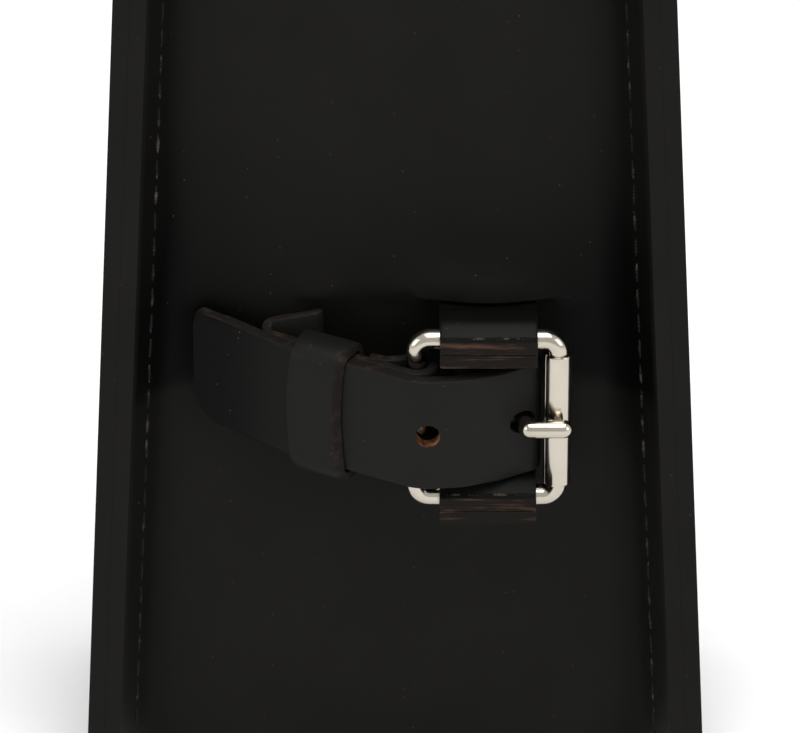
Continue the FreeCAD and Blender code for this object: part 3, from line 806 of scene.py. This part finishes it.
nickel = bpy.data.materials.new("polished_nickel")
nickel.use_nodes = True
tree = nickel.node_tree
shader = tree.nodes["Principled BSDF"]
shader.inputs["Metallic"].default_value = 1.0
coords = tree.nodes.new("ShaderNodeTexCoord")
smear = tree.nodes.new("ShaderNodeTexNoise")
smear.inputs["Scale"].default_value = 120.0
smear.inputs["Detail"].default_value = 4.0
tree.links.new(coords.outputs["Object"], smear.inputs["Vector"])
tone = tree.nodes.new("ShaderNodeValToRGB")
tone.color_ramp.elements[0].color = (0.40, 0.36, 0.30, 1)
tone.color_ramp.elements[1].color = (0.56, 0.52, 0.45, 1)
tree.links.new(smear.outputs["Fac"], tone.inputs["Fac"])
tree.links.new(tone.outputs["Color"], shader.inputs["Base Color"])
gloss = tree.nodes.new("ShaderNodeMapRange")
gloss.inputs["To Min"].default_value = 0.10
gloss.inputs["To Max"].default_value = 0.24
tree.links.new(smear.outputs["Fac"], gloss.inputs["Value"])
tree.links.new(gloss.outputs["Result"], shader.inputs["Roughness"])
dent = tree.nodes.new("ShaderNodeBump")
dent.inputs["Strength"].default_value = 0.08
dent.inputs["Distance"].default_value = 0.0002
tree.links.new(smear.outputs["Fac"], dent.inputs["Height"])
tree.links.new(dent.outputs["Normal"], shader.inputs["Normal"])

for node in ("buckle_frame", "buckle_prong"):
    for piece_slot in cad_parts[node].material_slots:
        piece_slot.material = nickel

roller_low, roller_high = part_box("buckle_roller")
bm = bmesh.new()
hub = spot(bar_far, frame_out, 0)
roller_radius = 2.6
joint_at = math.radians(212)
joint_open = 6
inner_r = (wire + 0.08) * MM
outer_r = roller_radius * MM
corner = 0.12 * MM
profile = [
    (inner_r, roller_low.z + corner), (inner_r + corner, roller_low.z), (outer_r - corner, roller_low.z),
    (outer_r, roller_low.z + corner), (outer_r, roller_high.z - corner), (outer_r - corner, roller_high.z),
    (inner_r + corner, roller_high.z), (inner_r, roller_high.z - corner),
]
across_joint = Vector((math.cos(joint_at), math.sin(joint_at), 0))
verts = [bm.verts.new((hub.x + r * across_joint.x, hub.y + r * across_joint.y, z)) for r, z in profile]
bmesh.ops.spin(
    bm, geom=[bm.faces.new(verts)], cent=hub, axis=(0, 0, 1),
    angle=math.radians(360 - joint_open), steps=72, use_duplicate=False,
)
bmesh.ops.recalc_face_normals(bm, faces=bm.faces)
roller = finish_piece(bm, "roller_tube", "roller", [nickel], "buckle_roller")
soften(roller, 0.1)

# ---- Hanger tabs -----------------------------------------------------------
# Two leather leaves come out of each slit, straddle the frame's bar and are sewn together in
# front of it. Their front ends are left as cut, so both layers and their brown core show.

tab_edge = raw_leather(
    "tab_edge", dark=(0.0075, 0.006, 0.005), tan=(0.060, 0.032, 0.020), amount=-0.03,
    stretch=(0.16, 1.0, 1.7),
)
tab_front = frame_out + 6.6
stitch_out = frame_out + 5.1


def tab_route(outer):
    """Middle of one leaf as (rise, stand-off), front end first."""
    side = 1 if outer else -1
    lip = frame_half + side * (tab_thick / 2 + 0.07)
    bulge = frame_half + side * (wire + 0.1 + tab_thick / 2)
    foot = -(patch_back + inside_gap + tab_thick / 2) - (0 if outer else tab_thick + inside_gap)
    return rounded_path([
        (lip, tab_front, 0, 0),
        (lip, frame_out + 4.4, 0, 2.0),
        (bulge, frame_out + 1.5, 0, 2.2),
        (bulge, frame_out - 2.0, 0, 2.6),
        (lip, frame_out - 7.0, 0, 2.6),
        (lip, foot, 0, 1.6),
        (28.0, foot, 0, 0),
    ])


for up, word in ((1, "top"), (-1, "bottom")):
    for outer, leaf in ((True, "outer"), (False, "inner")):
        route = evened(tab_route(outer), 1.2)
        ring = cross_section(tab_thick, tab_right - tab_left, 0.4, 10)
        sections = []
        for place, normal in zip(route, plan_normals(route)):
            section = []
            for off, across in ring:
                rise = place.x + normal.x * off
                out = place.y + normal.y * off
                section.append(spot(tab_middle + across, out, rise * up))
            sections.append(section)
        bm = bmesh.new()
        raise_ring(bm, sections[0], sections[1:])
        for face in bm.faces:
            if abs(face.normal.x) > 0.75 or len(face.verts) > 4:
                face.material_index = 1
        name = f"{word}_tab_{leaf}"
        tab = finish_piece(bm, name, "wall", [strap_leather, tab_edge], name + "_leaf")
        # Painted shade darkens each leaf where it runs back towards the wall.
        paint_shade(tab, lambda place: 0.7 * smooth(place.y / MM, -17.8, -12.0))
    bm = bmesh.new()
    for face_side in (1, -1):
        rise = (frame_half + face_side * (tab_thick + 0.02)) * up
        start = spot(tab_middle - hand_row(4) / 2, stitch_out, rise)
        sew(bm, start, Vector((1, 0, 0)), Vector((0, 0, face_side * up)), 4, hand_pitch, hand_stitch)
    seam = finish_piece(bm, word + "_tab_stitches", "wall", [thread_mat], word + "_tab_thread")

# ---- Free strap ------------------------------------------------------------
# The 2.8 mm billet comes out beside the roller, turns back on itself and runs left over the
# buckle with the prong through it, then under the keeper to its tip, rounded at its lower corner.

tip_x = -37.6
turn_x = bar_far - roller_radius - billet_thick / 2 - 0.45
billet_inside = -(patch_back + billet_thick / 2 + inside_gap)
billet_front = billet_thick / 2 + 0.2
lift_off = -21.0
billet_route = rounded_path([
    (1.0, billet_inside, 0, 0),
    (billet_slit_x, billet_inside, 0, 1.8),
    (billet_slit_x, billet_front, 0, 1.8),
    (turn_x, billet_front, 0, 3.2),
    (turn_x, frame_out - 1.0, 0, 2.2),
    (18.9, frame_out + 3.1, 0, 10.0),
    (12.6, frame_out + 5.6, 0, 9.0),
    (crest, billet_line(crest), 0, 8.0),
    (slope_end, billet_line(slope_end), drift(slope_end), 0),
    (lift_off, billet_line(lift_off), drift(lift_off), 0),
    (-30.5, billet_line(-30.5), 4.7, 15.0),
    (tip_x, billet_thick / 2 + 0.3, 7.0, 0),
], step=5.0)
bm = bent_strap(evened(billet_route, 1.5), billet_thick, strap_width, spans=14)
billet = finish_piece(bm, "free_strap", "wall", [strap_leather, raw_edge, raw_core], "billet_strap")


def round_tool(radius, depth, segments):
    """A round cutter, still upright at the origin."""
    tool = bmesh.new()
    bmesh.ops.create_cone(
        tool, cap_ends=True, segments=segments, radius1=radius * MM, radius2=radius * MM, depth=depth * MM,
    )
    return tool


def stand_tool(tool, place, lean=0.0):
    """Turns a cutter's axis front to back, leans it sideways and puts it in its place."""
    bmesh.ops.rotate(tool, cent=(0, 0, 0), matrix=Matrix.Rotation(math.radians(90), 3, "X"), verts=tool.verts)
    bmesh.ops.rotate(tool, cent=(0, 0, 0), matrix=Matrix.Rotation(lean, 3, "Z"), verts=tool.verts)
    bmesh.ops.translate(tool, vec=place, verts=tool.verts)
    return tool


def punch(x, out, lean, radius, length, slot):
    """A punch for a prong hole, its wall in the given material slot."""
    tool = round_tool(radius, 12, 28)
    bmesh.ops.scale(tool, vec=(length / (2 * radius), 1, 1), verts=tool.verts)
    stand_tool(tool, spot(x, out, 0), lean)
    for face in tool.faces:
        face.material_index = slot
    return tool


def block_between(low, high):
    """A box-shaped cutter given by two corners (across, out, rise)."""
    tool = bmesh.new()
    bmesh.ops.create_cube(tool, size=1)
    near = spot(*low)
    far = spot(*high)
    size = Vector([abs(a - b) for a, b in zip(near, far)])
    bmesh.ops.scale(tool, vec=size, verts=tool.verts)
    bmesh.ops.translate(tool, vec=(near + far) / 2, verts=tool.verts)
    return tool


def as_object(tool, name):
    """A loose object made of a cutter, used only while cutting."""
    mesh = bpy.data.meshes.new(name)
    tool.to_mesh(mesh)
    tool.free()
    made = bpy.data.objects.new(name, mesh)
    bpy.context.scene.collection.objects.link(made)
    return made


lower_round = 9.0
upper_round = 3.0
lower_rise = 2.3
upper_rise = 14.6
past_tip = 6.0
tool_depth = 90
holder = as_object(block_between(
    (tip_x - past_tip, -30, lower_rise - strap_width), (tip_x + 6.2, 30, lower_rise + strap_width),
), "tip_block")
cut_with(holder, [
    stand_tool(round_tool(lower_round, tool_depth, 72), spot(tip_x + lower_round, 0, lower_rise)),
    block_between((tip_x, -40, lower_rise), (tip_x + 30, 40, upper_rise)),
    stand_tool(round_tool(upper_round, tool_depth, 48), spot(tip_x + upper_round, 0, upper_rise)),
    block_between((tip_x + upper_round, -40, 14.0), (tip_x + 30, 40, 60)),
])
block = bmesh.new()
block.from_mesh(holder.data)
bpy.data.objects.remove(holder)
for face in block.faces:
    face.material_index = 1
hole_radius = 2.25
cut_with(billet, [
    punch(23.0, frame_out + 0.6, math.radians(32), hole_radius, length=5.6, slot=1),
    punch(6.1, frame_out + 5.5, 0, hole_radius, length=2 * hole_radius, slot=2),
    block,
])
billet.data.shade_smooth()
billet.data.set_sharp_from_angle(angle=math.radians(40))
# Painted shade darkens the free strap towards its tip on the left, where it turns away from the light.
paint_shade(billet, lambda place: 0.94 * smooth(-place.x / MM, 12.0, 34.0))

# ---- Sewn ends -------------------------------------------------------------
# The straps' ends are sewn to the patch inside the bag, and the chape's fold beside the bar,
# with the same thread. Only their short stitches show, and only from behind or below.

for word, x, count, depth in (("chape", -7.5, 2, chape_thick), ("billet", 6.0, 4, billet_thick)):
    bm = bmesh.new()
    for out, way in ((0, -1), (-(patch_back + depth + inside_gap), 1)):
        start = spot(x, out, -hand_row(count) / 2)
        sew(bm, start, Vector((0, 0, 1)), Vector((0, way, 0)), count, hand_pitch, hand_stitch)
    piece = finish_piece(bm, word + "_anchor", "wall", [thread_mat], word + "_anchor_thread")

along = (spot(-2.0, billet_line(-2.0), drift(-2.0)) - spot(-1.0, billet_line(-1.0), drift(-1.0))).normalized()
out_way = Vector((0, 0, 1)).cross(along).normalized()
if out_way.y > 0:
    out_way = -out_way
across = along.cross(out_way).normalized()
if across.z < 0:
    across = -across
fold_x = -2.9
fold_gap = 0.3
fold_out = chape_line(fold_x) - (chape_thick + fold_gap) * slope_stretch / 2
fold_middle = spot(fold_x, fold_out, drift(fold_x))
stitch_sink = 0.25
bm = bmesh.new()
for way in (1, -1):
    lift = out_way * way
    start = fold_middle + lift * (chape_thick + fold_gap / 2 - stitch_sink) * MM
    start -= across * hand_row(5) / 2 * MM
    sew(bm, start, across, lift, 5, hand_pitch, hand_stitch)
piece = finish_piece(bm, "fold_stitches", "wall", [thread_mat], "chape_fold_thread")

# ---- Keeper ----------------------------------------------------------------
# A band of 2 mm leather bent round both straps, its ends butted and stitched underneath. Its
# cut edges are raw and it has worn to a soft rounded shape.

keeper_x = -13.4
keeper_long = 10.4
keeper_thick = 2.0
keeper_depth = billet_thick + chape_thick + layer_gap + 0.7
keeper_high = strap_width + 1.0
stack_out = (billet_line(keeper_x) + chape_line(keeper_x)) / 2
stack_out += (billet_thick - chape_thick) / 4 * slope_stretch
keeper_middle = spot(keeper_x, stack_out, drift(keeper_x))


def band_ring(depth, high, radius, count):
    """Rounded rectangle as (out, up) offsets with extra points on its long sides."""
    ring = [(depth / 2, (high / 2 - radius) * k / 6) for k in range(-5, 6)]
    for sx, sy, start in ((1, 1, 0), (-1, 1, 90), (-1, -1, 180), (1, -1, 270)):
        for k in range(count + 1):
            angle = math.radians(start + 90 * k / count)
            ring.append((
                sx * (depth / 2 - radius) + radius * math.cos(angle),
                sy * (high / 2 - radius) + radius * math.sin(angle),
            ))
    return ring


outer_ring = band_ring(keeper_depth + 2 * keeper_thick, keeper_high + 2 * keeper_thick, 4.0, 7)
inner_ring = band_ring(keeper_depth, keeper_high, 0.8, 7)
# The band's section: share of its length, and share of its thickness from inside to outside.
edge_profile = [(-0.5, 0.06), (-0.46, 0.0), (0.46, 0.0), (0.5, 0.06), (0.5, 0.94), (0.46, 1.0)]
edge_profile += [(0.25, 1.0), (0.0, 1.0), (-0.25, 1.0), (-0.46, 1.0), (-0.5, 0.94)]
lean = 0.08
shift = -1.0
bow_most = 1.2
swell_most = 0.25
skive_most = 1.3


def keeper_section(k):
    """The band's own section at one point round its ring."""
    inner = Vector(inner_ring[k])
    outer = Vector(outer_ring[k])
    points = []
    for length, share in edge_profile:
        place = inner.lerp(outer, share)
        bow = bow_most * (1 - (place.y / (keeper_high / 2 + keeper_thick)) ** 2) * smooth(place.x, 0.0, 3.0)
        swell = swell_most * (1 - (2 * length) ** 2) * smooth(place.x, 1.0, 4.0)
        skive = skive_most * share * smooth(place.x, 0.0, 3.0) if length < -0.4 else 0.0
        run = length * keeper_long + bow + skive + lean * place.y + shift
        points.append(keeper_middle + (along * run + out_way * (place.x + swell) + across * place.y) * MM)
    return points


bm = bmesh.new()
round_band = list(range(1, len(outer_ring))) + [0]
raise_ring(bm, keeper_section(0), [keeper_section(k) for k in round_band])
caps = [f for f in bm.faces if len(f.verts) > 4]
bmesh.ops.delete(bm, geom=caps, context="FACES_ONLY")
bmesh.ops.remove_doubles(bm, verts=bm.verts, dist=0.00001)
bmesh.ops.recalc_face_normals(bm, faces=bm.faces)
for face in bm.faces:
    if abs(face.normal.dot(along)) > 0.7:
        face.material_index = 1
keeper = finish_piece(bm, "keeper_band", "keeper", [strap_leather, raw_edge], "keeper_loop")

bm = bmesh.new()
under = keeper_depth / 2 + keeper_thick - 0.2
start = keeper_middle - out_way * under * MM - across * hand_row(2) / 2 * MM
sew(bm, start, across, -out_way, 2, hand_pitch, hand_stitch)
piece = finish_piece(bm, "keeper_stitches", "keeper", [thread_mat], "keeper_thread")

# ---- Floor, light and camera -----------------------------------------------
# A plain pale table, one broad soft light overhead in front and a weaker one each side.

floor_mat = bpy.data.materials.new("pale_table")
floor_mat.use_nodes = True
shader = floor_mat.node_tree.nodes["Principled BSDF"]
shader.inputs["Base Color"].default_value = (0.93, 0.93, 0.93, 1)
shader.inputs["Roughness"].default_value = 0.9
bm = bmesh.new()
bmesh.ops.create_grid(bm, x_segments=1, y_segments=1, size=4.0)
mesh = bpy.data.meshes.new("table_top")
bm.to_mesh(mesh)
bm.free()
mesh.materials.append(floor_mat)
table = bpy.data.objects.new("table_top", mesh)
bpy.context.scene.collection.objects.link(table)

world = bpy.data.worlds.new("studio")
bpy.context.scene.world = world
world.use_nodes = True
sky = world.node_tree.nodes["Background"]
sky.inputs["Color"].default_value = (1.0, 1.0, 1.0, 1)
sky.inputs["Strength"].default_value = 0.75
light_target = Vector((0, 0, 0.08))


def soft_light(name, place, size, power):
    """One square area light aimed at the buckle."""
    data = bpy.data.lights.new(name, "AREA")
    data.shape = "SQUARE"
    data.size = size
    data.energy = power
    lamp = bpy.data.objects.new(name, data)
    lamp.location = place
    lamp.rotation_euler = (light_target - Vector(place)).to_track_quat("-Z", "Y").to_euler()
    bpy.context.scene.collection.objects.link(lamp)


soft_light("overhead", (0.1, -0.35, 1.1), size=0.8, power=9.0)
soft_light("left_fill", (-1.0, -0.6, 0.5), size=0.6, power=3.0)
soft_light("right_fill", (1.0, -0.6, 0.5), size=0.6, power=3.0)

look_up = math.radians(28)
distance = 1.2
seen_width = 0.14815
aim = Vector((0.00093, -0.0115, 0.08865))
camera_data = bpy.data.cameras.new("camera")
camera_data.sensor_width = 36.0
camera_data.lens = camera_data.sensor_width * distance / seen_width
camera = bpy.data.objects.new("camera", camera_data)
camera.location = aim + Vector((0, -math.cos(look_up), math.sin(look_up))) * distance
camera.rotation_euler = (aim - camera.location).to_track_quat("-Z", "Y").to_euler()
bpy.context.scene.collection.objects.link(camera)
bpy.context.scene.camera = camera
bpy.context.scene.view_settings.view_transform = "Standard"
